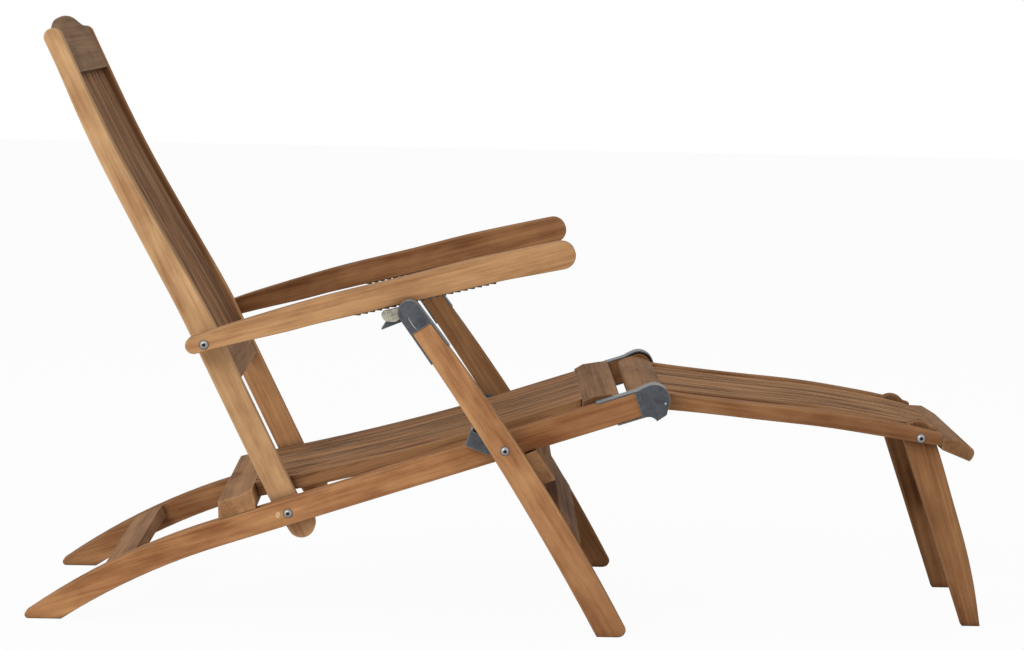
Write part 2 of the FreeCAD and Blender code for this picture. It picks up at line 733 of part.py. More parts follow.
def catch_block_outline(gap):
    """A rounded block whose top stays this far under the arm, cut away over the lever's eye."""
    outline = Outline((-182, 485)).line((-190, 485)).arc((-200.5, 488.5), (-204, 497))
    return outline.line(under_arm(-202, gap), under_arm(-170, gap), (-170, 494)).close()


def catch_block(label, side):
    """The inner half stays clear of the rack's teeth and the outer half rises beside the rack."""
    body = doc.addObject("PartDesign::Body", label)
    teeth, gap = size("rack_base") + size("rack_tooth"), size("catch_gap")
    add_pad(body, catch_block_outline(teeth + gap), f"{CATCH_INNER}", f"{CATCH_STEP - CATCH_INNER}", side)
    body.Tip = add_pad(body, catch_block_outline(gap), f"{CATCH_STEP}", f"{LEG_IN - CATCH_STEP}", side)
    return body


def catch_lever(label, side):
    """A folded tongue under the block, with its thumb end to the rear and its eye on a pin in the leg."""
    eye = size("lever_eye_radius")
    outline = Outline(polar(CATCH_PIN, eye, 130))
    outline.line((-181.5, 484.2), (-197, 484.2), (-204, 472.5), (-203, 471.6), polar(CATCH_PIN, eye, -65))
    outline.arc(polar(CATCH_PIN, eye, 10), outline.start)
    body = doc.addObject("PartDesign::Body", f"{label}_blank")
    body.Tip = add_pad(body, outline, f"{CATCH_INNER + 1}", "sizes.lever_width", side)
    bore = rod(f"{label}_bore", CATCH_PIN, side * CATCH_INNER, "sizes.catch_pin_radius + 0.05", "40", side)
    lever = doc.addObject("Part::Cut", label)
    lever.Base, lever.Tool = body, bore
    return lever


def catch_pin(label, side):
    return rod(label, CATCH_PIN, side * (CATCH_INNER + 1), "sizes.catch_pin_radius",
               f"{LEG_IN - CATCH_INNER - 1}", side)


for side_name, side in SIDES:
    nodes.append(leg_cap(f"leg_cap_{side_name}", side))
    nodes.append(catch_block(f"catch_block_{side_name}", side))
    nodes.append(catch_lever(f"catch_lever_{side_name}", side))
nodes.append(both_sides("catch_pins", catch_pin))


# Footrest

FOOT_TOP = ((245, 371.5), (294, 366.5), (397, 356.5), (500, 347), (578, 335.5), (629, 326.5), (684, 313.5))
FOOT_REAR_FRONT = 243
FOOT_LEG_HEAD = 24


def foot_rail_outline():
    """Rounded behind the hinge, then a shallow bend downwards towards the feet, thinner at the end."""
    outline = Outline((189, 352)).line((186, 366))
    outline.flow((187.5, 372.5), (194, 376.5), (211, 381), (230, 378), (243, 372.5))
    outline.flow(*FOOT_TOP[1:]).line((684, 295.5))
    outline.flow((629, 303), (578, 310.5), (500, 321.5), (397, 331.5), (294, 341.5), (200, 347))
    return outline.close()


def foot_slat_outline():
    down = size("foot_slat_thickness")
    top = ((FOOT_REAR_FRONT, 371.5),) + FOOT_TOP[1:]
    under = [(x, z - down) for x, z in reversed(top)]
    return Outline(top[0]).flow(*top[1:]).line(under[0]).flow(*under[1:])


def foot_rear_rail_outline():
    outline = Outline((189, 355)).line((186, 366))
    outline.flow((187.5, 372.5), (194, 376.5), (211, 381), (230, 378), (243, 372.5))
    return outline.line((243, 352.5))


def foot_end_rail_outline():
    outline = Outline((684, 289)).line((684, 307), (709, 306), (730, 293.5))
    return outline.flow((735, 288), (734, 279), (728, 271.5))


for side_name, side in SIDES:
    nodes.append(board(f"footrest_rail_{side_name}", foot_rail_outline(), "sizes.footrest_rail_inner",
                       "sizes.footrest_rail_thickness", side, (HINGE, FOOT_PIVOT)))
nodes.append(crossing("footrest_rear_rail", foot_rear_rail_outline(), "sizes.footrest_rail_inner"))
nodes.append(crossing("footrest_end_rail", foot_end_rail_outline(), f"{FOOT_RAIL_OUT}"))
nodes += slats("footrest_slat", foot_slat_outline, "foot_slat_width", "foot_slat_pitch")


def foot_leg_outline():
    rear, top, front = (polar(FOOT_PIVOT, FOOT_LEG_HEAD, turn) for turn in (199.1, 105, 15))
    outline = Outline(rear).arc(top, front)
    outline.flow((683, 284), (706, 213), (736, 116), (751, 51), (759.7, 0),
                 leave=(0.259, -0.966), arrive=(0.17, -1))
    outline.line((731, 0))
    return outline.close()


for side_name, side in SIDES:
    nodes.append(board(f"footrest_leg_{side_name}", foot_leg_outline(), "sizes.footrest_leg_inner",
                       "sizes.footrest_leg_thickness", side, (FOOT_PIVOT,)))
FOOT_STRETCHER = ((694, 188), (711, 193), (728, 145), (711, 140))
nodes.append(crossing("footrest_leg_stretcher", polygon(FOOT_STRETCHER), "sizes.footrest_leg_inner"))


# Check every piece, then write it under its name

doc.recompute()
failed = [item.Label for item in doc.Objects if "Invalid" in item.State or "Error" in item.State]
failed += [node.Label for node in nodes if node.Shape.isNull() or not node.Shape.isValid()]
if failed:
    raise RuntimeError("failed: " + ", ".join(failed))
if len(nodes) > 60:
    raise RuntimeError("too many pieces")

os.makedirs("parts", exist_ok=True)
for node in nodes:
    node.Shape.exportStep(f"parts/{node.Label}.step")
print(len(nodes), "pieces")
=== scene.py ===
import math

import bmesh
import bpy
import numpy as np
from mathutils import Matrix, Vector


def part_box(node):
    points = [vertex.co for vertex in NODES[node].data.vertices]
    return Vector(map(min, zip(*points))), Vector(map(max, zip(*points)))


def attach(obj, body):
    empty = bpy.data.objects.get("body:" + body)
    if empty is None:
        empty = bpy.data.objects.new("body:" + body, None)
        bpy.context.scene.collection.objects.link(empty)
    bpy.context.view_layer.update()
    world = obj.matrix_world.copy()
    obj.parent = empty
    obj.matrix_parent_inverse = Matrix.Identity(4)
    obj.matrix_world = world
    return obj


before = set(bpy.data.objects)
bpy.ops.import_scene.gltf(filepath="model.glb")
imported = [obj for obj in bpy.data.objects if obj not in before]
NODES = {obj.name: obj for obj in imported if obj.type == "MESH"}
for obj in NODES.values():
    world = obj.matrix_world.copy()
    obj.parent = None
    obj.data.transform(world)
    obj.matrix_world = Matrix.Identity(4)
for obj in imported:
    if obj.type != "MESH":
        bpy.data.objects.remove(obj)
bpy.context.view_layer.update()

bl_info = {
    "name": "Steamer Deck Chair Finish",
    "version": (1, 0, 0),
    "blender": (4, 5, 0),
    "location": "3D View > Sidebar > Deck Chair",
    "description": "Dresses the folding deck chair in weathered teak and galvanised steel and lights it",
    "category": "Object",
}

SIDES = (("right", -1), ("left", 1))

# Slopes of the boards in the side view, in degrees above level towards the feet
SEAT_SLOPE = 18.0
BACK_SLOPE = 116.2
ARM_SLOPE = 15.5
LEG_SLOPE = 122.9
FOOT_SLOPE = -7.0
FOOT_LEG_SLOPE = 107.0


# Settings that a user would change

class DeckChairWood(bpy.types.PropertyGroup):
    light: bpy.props.FloatVectorProperty(
        name="Light Wood", description="Colour of the pale early wood", subtype="COLOR",
        size=3, min=0.0, max=1.0, default=(0.66, 0.385, 0.185))
    dark: bpy.props.FloatVectorProperty(
        name="Dark Wood", description="Colour of the dark late wood", subtype="COLOR",
        size=3, min=0.0, max=1.0, default=(0.27, 0.115, 0.048))
    grey: bpy.props.FloatVectorProperty(
        name="Weathered Wood", description="Colour of faces that the sun has bleached", subtype="COLOR",
        size=3, min=0.0, max=1.0, default=(0.42, 0.245, 0.130))
    edge: bpy.props.FloatVectorProperty(
        name="Worn Edge", description="Colour of rubbed edges", subtype="COLOR",
        size=3, min=0.0, max=1.0, default=(0.66, 0.47, 0.25))
    ring: bpy.props.FloatProperty(
        name="Ring Spacing", description="Distance between growth rings", unit="LENGTH",
        min=0.001, max=0.05, default=0.0075)
    weathering: bpy.props.FloatProperty(
        name="Weathering", description="How grey the weathered faces are", subtype="FACTOR",
        min=0.0, max=1.0, default=0.85)


class DeckChairSteel(bpy.types.PropertyGroup):
    zinc: bpy.props.FloatVectorProperty(
        name="Zinc", description="Colour of the galvanised sheet", subtype="COLOR",
        size=3, min=0.0, max=1.0, default=(0.055, 0.059, 0.070))
    zinc_light: bpy.props.FloatVectorProperty(
        name="Zinc Spangle", description="Colour of the lighter zinc crystals", subtype="COLOR",
        size=3, min=0.0, max=1.0, default=(0.135, 0.145, 0.160))
    bright: bpy.props.FloatVectorProperty(
        name="Bright Steel", description="Colour of bolts, rivets and cut edges", subtype="COLOR",
        size=3, min=0.0, max=1.0, default=(0.46, 0.46, 0.45))
    rivet_radius: bpy.props.FloatProperty(
        name="Rivet Radius", description="Radius of the small rivet heads", unit="LENGTH",
        min=0.001, max=0.01, default=0.0021)


class DeckChairStage(bpy.types.PropertyGroup):
    floor: bpy.props.FloatVectorProperty(
        name="Floor", description="Colour of the floor", subtype="COLOR",
        size=3, min=0.0, max=1.0, default=(0.90, 0.90, 0.90))
    eye: bpy.props.FloatVectorProperty(
        name="Eye Point", description="Where the camera stands", subtype="XYZ", unit="LENGTH",
        size=3, default=(-0.067, -4.7838, 0.9944))
    lens: bpy.props.FloatProperty(
        name="Lens", description="Focal length on a 36 mm wide sensor, in millimetres",
        min=20.0, max=300.0, default=103.3)
    pitch: bpy.props.FloatProperty(
        name="Pitch", description="How far the camera looks down", subtype="ANGLE",
        default=math.radians(6.453))
    yaw: bpy.props.FloatProperty(
        name="Yaw", description="How far the camera turns to the feet", subtype="ANGLE",
        default=math.radians(0.827))
    roll: bpy.props.FloatProperty(
        name="Roll", description="How far the camera leans over", subtype="ANGLE",
        default=math.radians(1.179))
    key: bpy.props.FloatProperty(
        name="Key Light", description="Power of the large soft lamp beside the camera", subtype="POWER",
        min=0.0, max=2000.0, default=90.0)
    top: bpy.props.FloatProperty(
        name="Top Light", description="Power of the soft lamp overhead", subtype="POWER",
        min=0.0, max=2000.0, default=28.0)
    sky: bpy.props.FloatProperty(
        name="Sky", description="Strength of the even light from all round", min=0.0, max=2.0, default=0.46)


# Small helpers for node trees

class Tree:
    """A node tree that is built a node at a time, with links given as inputs."""

    def __init__(self, tree):
        self.tree = tree

    def add(self, kind, inputs=None, **settings):
        node = self.tree.nodes.new(kind)
        for name, value in settings.items():
            setattr(node, name, value)
        for key, value in (inputs or {}).items():
            if isinstance(value, bpy.types.NodeSocket):
                self.tree.links.new(value, node.inputs[key])
            else:
                node.inputs[key].default_value = value
        return node

    def math(self, operation, first, second=0.0, third=0.0, clamp=False):
        inputs = {0: first, 1: second, 2: third}
        node = self.add("ShaderNodeMath", inputs, operation=operation, use_clamp=clamp)
        return node.outputs[0]

    def noise(self, vector, scale, detail=3.0, roughness=0.55, distortion=0.0):
        node = self.add("ShaderNodeTexNoise", {"Vector": vector, "Scale": scale, "Detail": detail,
                                               "Roughness": roughness, "Distortion": distortion})
        return node.outputs["Fac"]

    def stretch(self, vector, scale):
        return self.add("ShaderNodeMapping", {"Vector": vector, "Scale": scale}).outputs[0]

    def span(self, value, low, high, to_low=0.0, to_high=1.0):
        node = self.add("ShaderNodeMapRange", {"Value": value, "From Min": low, "From Max": high,
                                               "To Min": to_low, "To Max": to_high}, clamp=True)
        return node.outputs[0]

    def blend(self, factor, first, second, mode="MIX"):
        node = self.add("ShaderNodeMix", data_type="RGBA", blend_type=mode, clamp_result=True)
        for socket, value in ((node.inputs[0], factor), (node.inputs[6], first), (node.inputs[7], second)):
            if isinstance(value, bpy.types.NodeSocket):
                self.tree.links.new(value, socket)
            else:
                socket.default_value = value
        return node.outputs[2]


def rgba(colour):
    return (colour[0], colour[1], colour[2], 1.0)


def new_material(name):
    material = bpy.data.materials.new(name)
    material.use_nodes = True
    material.node_tree.nodes.clear()
    tree = Tree(material.node_tree)
    shader = tree.add("ShaderNodeBsdfPrincipled")
    output = tree.add("ShaderNodeOutputMaterial", {"Surface": shader.outputs[0]})
    output.is_active_output = True
    return material, tree, shader


def link(tree, value, socket):
    tree.tree.links.new(value, socket)


# Teak. How many marks of each kind there are to the metre along the grain, across it and through it

WANDER = (0.9, 9.0, 9.0)
SWAY = (1.4, 10.0, 10.0)
FIGURE = (1.3, 42.0, 42.0)
STREAKS = (3.5, 170.0, 170.0)
PORES = (16.0, 800.0, 800.0)
BLOTCHES = (11.0, 26.0, 26.0)
KNOTS = (3.4, 11.0, 11.0)
PATCHES = (3.5, 30.0, 30.0)

# How far wear reaches in from an edge and painted shade out from a joint, in metres

BOARD_EDGE, SHEET_EDGE = 0.0026, 0.0012
BOARD_SHADE_REACH, SHEET_SHADE_REACH, CAST_SHADE_REACH, BOLT_SHADE_REACH = 0.018, 0.010, 0.010, 0.004


def grain_point(tree, slope, shift):
    """Object coordinates turned so that X runs along a board's grain, and moved by shift."""
    place = tree.add("ShaderNodeTexCoord")
    turned = tree.add("ShaderNodeMapping", {"Vector": place.outputs["Object"]})
    turned.inputs["Rotation"].default_value = slope
    turned.inputs["Location"].default_value = tuple(float(v) for v in shift)
    facing = tree.add("ShaderNodeMapping", {"Vector": place.outputs["Normal"]}, vector_type="VECTOR")
    facing.inputs["Rotation"].default_value = slope
    end_grain = tree.math("ABSOLUTE", tree.add("ShaderNodeSeparateXYZ", {0: facing.outputs[0]}).outputs[0])
    upward = tree.add("ShaderNodeSeparateXYZ", {0: place.outputs["Normal"]}).outputs[2]
    return turned.outputs[0], end_grain, upward


def growth_rings(tree, point, spread, spacing):
    """Circles round a heart line that lies off the board, bent by slow noise, so that they sweep together."""
    wander = tree.noise(tree.stretch(point, WANDER), 1.0, 3.0, 0.5)
    parts = tree.add("ShaderNodeSeparateXYZ", {0: point})
    slow = tree.math("MULTIPLY", tree.math("SUBTRACT", wander, 0.5), 0.11)
    across = tree.math("ADD", tree.math("ADD", parts.outputs[1], slow), float(spread.uniform(0.02, 0.07)))
    height = tree.math("ADD", tree.math("ADD", parts.outputs[2], slow), float(spread.uniform(-0.05, 0.05)))
    reach = tree.math("SQRT", tree.math("ADD", tree.math("MULTIPLY", across, across),
                                        tree.math("MULTIPLY", height, height)))
    turn = tree.math("FRACT", tree.math("DIVIDE", reach, spacing))
    return tree.math("MULTIPLY", tree.math("POWER", turn, 1.6), tree.span(turn, 0.8, 1.0, 1.0, 0.0))


def edge_wear(tree, radius, low, high):
    """Where a softened normal leaves the true one, which is along the edges: 0 on flats and 1 on edges."""
    soft = tree.add("ShaderNodeBevel", {"Radius": radius}, samples=6)
    hard = tree.add("ShaderNodeNewGeometry")
    meet = tree.add("ShaderNodeVectorMath", {0: soft.outputs[0], 1: hard.outputs["Normal"]},
                    operation="DOT_PRODUCT")
    return tree.span(meet.outputs["Value"], high, low)


def painted_crevice_shade(tree, colour, reach, darkest):
    """The colour, with painted shade where other pieces stand close."""
    open_air = tree.add("ShaderNodeAmbientOcclusion", {"Distance": reach}, samples=8)
    shade = tree.span(open_air.outputs["AO"], 0.15, 0.85, darkest, 1.0)
    grey = tree.add("ShaderNodeCombineColor", {0: shade, 1: shade, 2: shade}).outputs[0]
    return tree.blend(1.0, colour, grey, "MULTIPLY")


def teak_material(name, slope, seed, tone=1.0, warmth=0.0, aged=0.0, contrast=1.0, stain_and_painted_shade=None):
    """Teak sawn lengthwise along a board whose grain the Euler angles slope turn to X.

    Long figure, finer streaks, short blotches and a few knots make it darker or lighter, and growth rings
    show in places. tone lightens it, warmth makes it redder, aged greys all its faces as the weather greys
    the upward ones, and contrast strengthens its streaks. stain_and_painted_shade is painted shade along the
    board: an axis, the places where it starts and is full along it, and how dark it gets.
    """
    wood = bpy.context.scene.deck_chair_wood
    spread = np.random.default_rng(seed)
    material, tree, shader = new_material(name)
    point, end_grain, upward = grain_point(tree, slope, spread.uniform(-4.0, 4.0, 3))
    hue = (tone * (1.0 + 0.10 * warmth), tone * (1.0 - 0.06 * warmth), tone * (1.0 - 0.16 * warmth))

    def shade(base, scale=1.0):
        return rgba([min(1.0, part * tint * scale) for part, tint in zip(base, hue)])

    rings = growth_rings(tree, point, spread, wood.ring)
    sway = tree.noise(tree.stretch(point, SWAY), 1.0, 2.0, 0.5)
    figure = tree.noise(tree.stretch(point, FIGURE), 1.0, 4.0, 0.6, 0.6)
    streaks = tree.noise(tree.stretch(point, STREAKS), 1.0, 4.0, 0.65)
    fine = tree.noise(tree.stretch(point, PORES), 1.0, 2.0, 0.6)
    blotch = tree.noise(tree.stretch(point, BLOTCHES), 1.0, 3.0, 0.55)
    knots = tree.add("ShaderNodeTexVoronoi", {"Vector": tree.stretch(point, KNOTS), "Scale": 1.0})
    knot = tree.span(knots.outputs["Distance"], 0.05, 0.20, 0.75, 0.0)

    dark = tree.math("MULTIPLY", tree.math("SUBTRACT", figure, 0.5), 2.1 * contrast)
    dark = tree.math("ADD", dark, tree.math("MULTIPLY", tree.math("SUBTRACT", streaks, 0.5), 1.5 * contrast))
    dark = tree.math("ADD", dark, tree.math("MULTIPLY", tree.math("SUBTRACT", blotch, 0.5), 1.3))
    dark = tree.math("ADD", dark, tree.math("MULTIPLY", tree.math("SUBTRACT", sway, 0.5), 0.7))
    dark = tree.math("ADD", dark, tree.math("MULTIPLY", rings, tree.span(blotch, 0.4, 0.65, 0.02, 0.22)))
    dark = tree.math("ADD", tree.math("ADD", dark, knot), 0.40, clamp=True)
    colour = tree.blend(dark, shade(wood.light), shade(wood.dark))
    pores = tree.span(fine, 0.54, 0.74, 0.0, 0.42)
    colour = tree.blend(pores, colour, shade(wood.dark, 0.5))

    bleached = tree.math("ADD", tree.span(upward, 0.2, 0.8, 0.0, 0.6), aged, clamp=True)
    patches = tree.span(tree.noise(tree.stretch(point, PATCHES), 1.0, 3.0), 0.25, 0.6, 0.7, 1.0)
    bleached = tree.math("MULTIPLY", tree.math("MULTIPLY", bleached, patches), wood.weathering)
    worn = tree.math("MULTIPLY", dark, 0.75)
    worn = tree.math("ADD", worn, tree.span(streaks, 0.4, 0.7, 0.0, 0.3), clamp=True)
    grey = tree.blend(worn, shade(wood.grey, 1.2), shade(wood.grey, 0.42))
    colour = tree.blend(bleached, colour, grey)

    rubbed = edge_wear(tree, BOARD_EDGE, 0.90, 0.995)
    rubbed = tree.math("MULTIPLY", rubbed, tree.span(streaks, 0.3, 0.6, 0.3, 0.75))
    colour = tree.blend(rubbed, colour, shade(wood.edge))
    colour = tree.blend(tree.span(end_grain, 0.8, 0.95, 0.0, 0.2), colour, shade(wood.dark, 0.8))
    # Painted shade where other pieces stand close
    colour = painted_crevice_shade(tree, colour, BOARD_SHADE_REACH, 0.25)
    # Painted shade: the board darkens along one axis as the light falls off
    if stain_and_painted_shade:
        axis, start, end, amount = stain_and_painted_shade
        place = tree.add("ShaderNodeTexCoord")
        along = tree.add("ShaderNodeSeparateXYZ", {0: place.outputs["Object"]}).outputs[axis]
        colour = tree.blend(tree.span(along, start, end, 0.0, amount), colour, shade(wood.dark, 0.75))

    link(tree, colour, shader.inputs["Base Color"])
    link(tree, tree.span(streaks, 0.3, 0.7, 0.68, 0.82), shader.inputs["Roughness"])
    relief = tree.math("ADD", tree.math("MULTIPLY", streaks, 0.5), tree.math("MULTIPLY", fine, 0.25))
    bump = tree.add("ShaderNodeBump", {"Height": relief, "Strength": 0.22, "Distance": 0.0006})
    link(tree, bump.outputs[0], shader.inputs["Normal"])
    shader.inputs["Specular IOR Level"].default_value = 0.08
    return material


# Steel

HEAD_RADIUS = 0.0075
SOCKET_RADIUS = 0.0026
PAINTED_SOCKET_SHADE = (0.022, 0.024, 0.028, 1.0)
CAST_LIGHT = (0.50, 0.47, 0.37, 1.0)
CAST_DARK = (0.24, 0.22, 0.16, 1.0)


def galvanised_material(name, seed):
    """Hot-dipped sheet: a patchwork of zinc crystals, mottled darker by handling, bright on its edges."""
    steel = bpy.context.scene.deck_chair_steel
    material, tree, shader = new_material(name)
    place = tree.add("ShaderNodeTexCoord")
    shifted = tree.add("ShaderNodeMapping", {"Vector": place.outputs["Object"]})
    shifted.inputs["Location"].default_value = (seed * 0.37, seed * 0.11, seed * 0.23)
    point = shifted.outputs[0]
    cells = tree.add("ShaderNodeTexVoronoi", {"Vector": point, "Scale": 240.0, "Randomness": 1.0})
    shade = tree.add("ShaderNodeSeparateColor", {0: cells.outputs["Color"]}).outputs[0]
    mottle = tree.noise(point, 90.0, 4.0, 0.6)
    stain_and_painted_shade = tree.noise(point, 26.0, 2.0, 0.5)
    mix = tree.math("ADD", tree.math("MULTIPLY", shade, 0.2), tree.span(mottle, 0.35, 0.75, 0.0, 0.6))
    mix = tree.math("ADD", mix, tree.math("SUBTRACT", stain_and_painted_shade, 0.5), clamp=True)
    colour = tree.blend(mix, rgba(steel.zinc), rgba(steel.zinc_light))
    # Painted highlight: upward-facing zinc is lightened towards bright steel
    upward = tree.add("ShaderNodeSeparateXYZ", {0: place.outputs["Normal"]}).outputs[2]
    colour = tree.blend(tree.span(upward, 0.3, 0.9, 0.0, 0.3), colour, rgba(steel.bright))
    edge = tree.math("MULTIPLY", edge_wear(tree, SHEET_EDGE, 0.85, 0.99), 0.8)
    # Bright worn edges, then painted shade where other pieces stand close
    colour = painted_crevice_shade(tree, tree.blend(edge, colour, rgba(steel.bright)), SHEET_SHADE_REACH, 0.7)
    link(tree, colour, shader.inputs["Base Color"])
    shader.inputs["Metallic"].default_value = 0.5
    link(tree, tree.span(mottle, 0.3, 0.7, 0.50, 0.68), shader.inputs["Roughness"])
    bump = tree.add("ShaderNodeBump", {"Height": mottle, "Strength": 0.2, "Distance": 0.0004})
    link(tree, bump.outputs[0], shader.inputs["Normal"])
    return material


def bright_material(name, axis=None):
    """Stainless steel with turning marks. Round an axis (x, z) it has painted shade in the socket and on the
    rim of a bolt head."""
    steel = bpy.context.scene.deck_chair_steel
    material, tree, shader = new_material(name)
    place = tree.add("ShaderNodeTexCoord")
    haze = tree.noise(place.outputs["Object"], 420.0, 3.0, 0.6)
    marks = tree.noise(tree.stretch(place.outputs["Object"], (900.0, 60.0, 900.0)), 1.0, 2.0, 0.5)
    colour = tree.blend(tree.span(haze, 0.35, 0.7), rgba(steel.bright), rgba([c * 0.6 for c in steel.bright]))
    if axis:
        centred = tree.add("ShaderNodeMapping", {"Vector": place.outputs["Object"]})
        centred.inputs["Location"].default_value = (-axis[0], 0.0, -axis[1])
        parts = tree.add("ShaderNodeSeparateXYZ", {0: centred.outputs[0]})
        across, up = parts.outputs[0], parts.outputs[2]
        reach = tree.math("SQRT", tree.math("ADD", tree.math("MULTIPLY", across, across),
                                            tree.math("MULTIPLY", up, up)))
        # Painted shade: the bolt's socket is made dark and the rim of its head darkened
        socket = tree.span(reach, SOCKET_RADIUS, SOCKET_RADIUS + 0.0005, 1.0, 0.0)
        rim = tree.span(reach, HEAD_RADIUS - 0.0016, HEAD_RADIUS - 0.0004, 0.0, 0.8)
        colour = tree.blend(tree.math("MAXIMUM", socket, rim), colour, PAINTED_SOCKET_SHADE)
    # Painted shade round the bolt where other pieces stand close
    link(tree, painted_crevice_shade(tree, colour, BOLT_SHADE_REACH, 0.3), shader.inputs["Base Color"])
    shader.inputs["Metallic"].default_value = 0.6
    link(tree, tree.span(haze, 0.3, 0.7, 0.34, 0.5), shader.inputs["Roughness"])
    bump = tree.add("ShaderNodeBump", {"Height": marks, "Strength": 0.08, "Distance": 0.0002})
    link(tree, bump.outputs[0], shader.inputs["Normal"])
    return material


def cast_material(name):
    """Plain zinc casting, matt and cream-grey, with painted shade in its hollows."""
    material, tree, shader = new_material(name)
    place = tree.add("ShaderNodeTexCoord")
    grain = tree.noise(place.outputs["Object"], 500.0, 3.0, 0.6)
    dirt = tree.noise(place.outputs["Object"], 120.0, 3.0, 0.6)
    colour = tree.blend(tree.span(dirt, 0.4, 0.7), CAST_LIGHT, CAST_DARK)
    # Painted shade in the hollows of the casting
    link(tree, painted_crevice_shade(tree, colour, CAST_SHADE_REACH, 0.3), shader.inputs["Base Color"])
    shader.inputs["Metallic"].default_value = 0.2
    link(tree, tree.span(grain, 0.3, 0.7, 0.45, 0.6), shader.inputs["Roughness"])
    bump = tree.add("ShaderNodeBump", {"Height": grain, "Strength": 0.2, "Distance": 0.0003})
    link(tree, bump.outputs[0], shader.inputs["Normal"])
    return material


def dress(node, material):
    """Put one material on every slot of a CAD node."""
    for material_slot in NODES[node].material_slots:
        material_slot.material = material


# The wooden pieces: name, slope of the grain in the side view, tone, warmth, contrast of the streaks

# Tones are partly painted shade: the far (left) boards are darker than the near ones, and the footrest's are
# low, as the light falls off
BOARDS = (
    ("side_rail_right", SEAT_SLOPE, 0.82, 1.0, 0.72),
    ("side_rail_left", SEAT_SLOPE, 0.64, 0.9, 0.72),
    ("back_stile_right", BACK_SLOPE, 1.14, -0.3, 0.43),
    ("back_stile_left", BACK_SLOPE, 0.90, 0.6, 0.72),
    ("arm_right", ARM_SLOPE, 0.85, 0.4, 0.86),
    ("arm_left", ARM_SLOPE, 0.58, 1.0, 0.86),
    ("front_leg_right", LEG_SLOPE, 0.98, 0.6, 0.58),
    ("front_leg_left", LEG_SLOPE, 0.54, 0.7, 0.72),
    ("footrest_rail_right", FOOT_SLOPE, 0.60, 1.0, 0.72),
    ("footrest_rail_left", FOOT_SLOPE, 0.55, 1.0, 0.72),
    ("footrest_leg_right", FOOT_LEG_SLOPE, 0.56, 1.0, 0.72),
    ("footrest_leg_left", FOOT_LEG_SLOPE, 0.43, 1.0, 0.72),
)

# Boards with painted shade that darkens along their length as the light falls off: axis, place where it
# starts, place where it is full (metres), amount

PAINTED_SHADE_FALLOFFS = {
    "back_stile_left": (2, 0.50, 0.58, 0.7),
    "side_rail_right": (0, -0.05, 0.15, 0.35),
    "front_leg_right": (2, 0.30, 0.05, 0.35),
    "footrest_rail_right": (0, 0.35, 0.65, 0.15),
}

# The boards across the chair: name, tone, warmth, greying, contrast of the streaks

CROSS_BOARDS = (
    ("rear_stretcher", 0.74, 0.5, 0.5, 0.6),
    ("seat_rear_rail", 0.80, 0.4, 0.3, 0.6),
    ("seat_middle_rail", 0.80, 0.4, 0.0, 0.6),
    ("seat_front_rail", 0.56, 0.5, 0.6, 0.6),
    ("back_lower_rail", 0.74, 0.2, 0.7, 0.6),
    ("crest_rail", 0.62, -0.1, 0.9, 0.2),
    ("leg_stretcher", 0.50, 0.6, 0.2, 0.6),
    ("footrest_rear_rail", 0.58, 0.5, 0.6, 0.6),
    ("footrest_end_rail", 0.60, 0.6, 0.4, 0.6),
    ("footrest_leg_stretcher", 0.50, 0.7, 0.2, 0.6),
    ("arm_packers", 0.50, 0.4, 0.2, 0.6),
)

# The slats: family, slope of the grain, lowest and highest tone, greying

SLATS = (
    ("seat_slat", SEAT_SLOPE, 0.52, 0.74, 0.25),
    ("back_slat", BACK_SLOPE, 0.46, 0.64, 0.35),
    ("footrest_slat", FOOT_SLOPE, 0.54, 0.74, 0.25),
)
SLAT_CONTRAST = 2.6
SHADES_SEED = 5


def lengthwise(slope):
    return (0.0, math.radians(slope), 0.0)


CROSSWISE = (0.0, 0.0, math.radians(90.0))


class DECKCHAIR_OT_boards(bpy.types.Operator):
    """Finish the boards that lie in the side view's planes"""
    bl_idname = "deckchair.boards"
    bl_label = "Finish Boards"

    def execute(self, context):
        for seed, (node, slope, tone, warmth, contrast) in enumerate(BOARDS):
            finish = teak_material(f"teak_{node}", lengthwise(slope), seed, tone, warmth,
                                   contrast=contrast, stain_and_painted_shade=PAINTED_SHADE_FALLOFFS.get(node))
            dress(node, finish)
        return {"FINISHED"}


class DECKCHAIR_OT_cross_boards(bpy.types.Operator):
    """Finish the boards that run across the chair"""
    bl_idname = "deckchair.cross_boards"
    bl_label = "Finish Cross Boards"

    def execute(self, context):
        for seed, (node, tone, warmth, aged, contrast) in enumerate(CROSS_BOARDS, start=20):
            dress(node, teak_material(f"teak_{node}", CROSSWISE, seed, tone, warmth, aged, contrast))
        return {"FINISHED"}


class DECKCHAIR_OT_slats(bpy.types.Operator):
    """Finish the slats of the seat, the back and the footrest, each pair in its own shade"""
    bl_idname = "deckchair.slats"
    bl_label = "Finish Slats"

    def execute(self, context):
        shades = np.random.default_rng(SHADES_SEED)
        for family, slope, low, high, aged in SLATS:
            for node in sorted(name for name in NODES if name.startswith(family)):
                seed = int(shades.integers(100, 999))
                tone = float(shades.uniform(low, high))
                warmth = float(shades.uniform(0.5, 1.2))
                dress(node, teak_material(f"teak_{node}", lengthwise(slope), seed, tone, warmth, aged,
                                          SLAT_CONTRAST))
        return {"FINISHED"}


# The steel nodes: those with socket heads, the plain ones, and the families of pressed sheet

BOLTS = ("back_pivot_bolts", "leg_pivot_bolts", "foot_pivot_bolts", "arm_bolt_right", "arm_bolt_left")
PLAIN_STEEL = ("hinge_pins", "back_washers", "hinge_spacers", "foot_washers", "catch_pins")
SHEET_STEEL = ("hinge_plate", "leg_cap", "pivot_bracket", "rack", "catch_lever")


def node_axis(node):
    """The middle of a CAD node's box in the side view, as (x, z), through which a bolt's axis runs."""
    low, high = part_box(node)
    return (low[0] + high[0]) / 2, (low[2] + high[2]) / 2


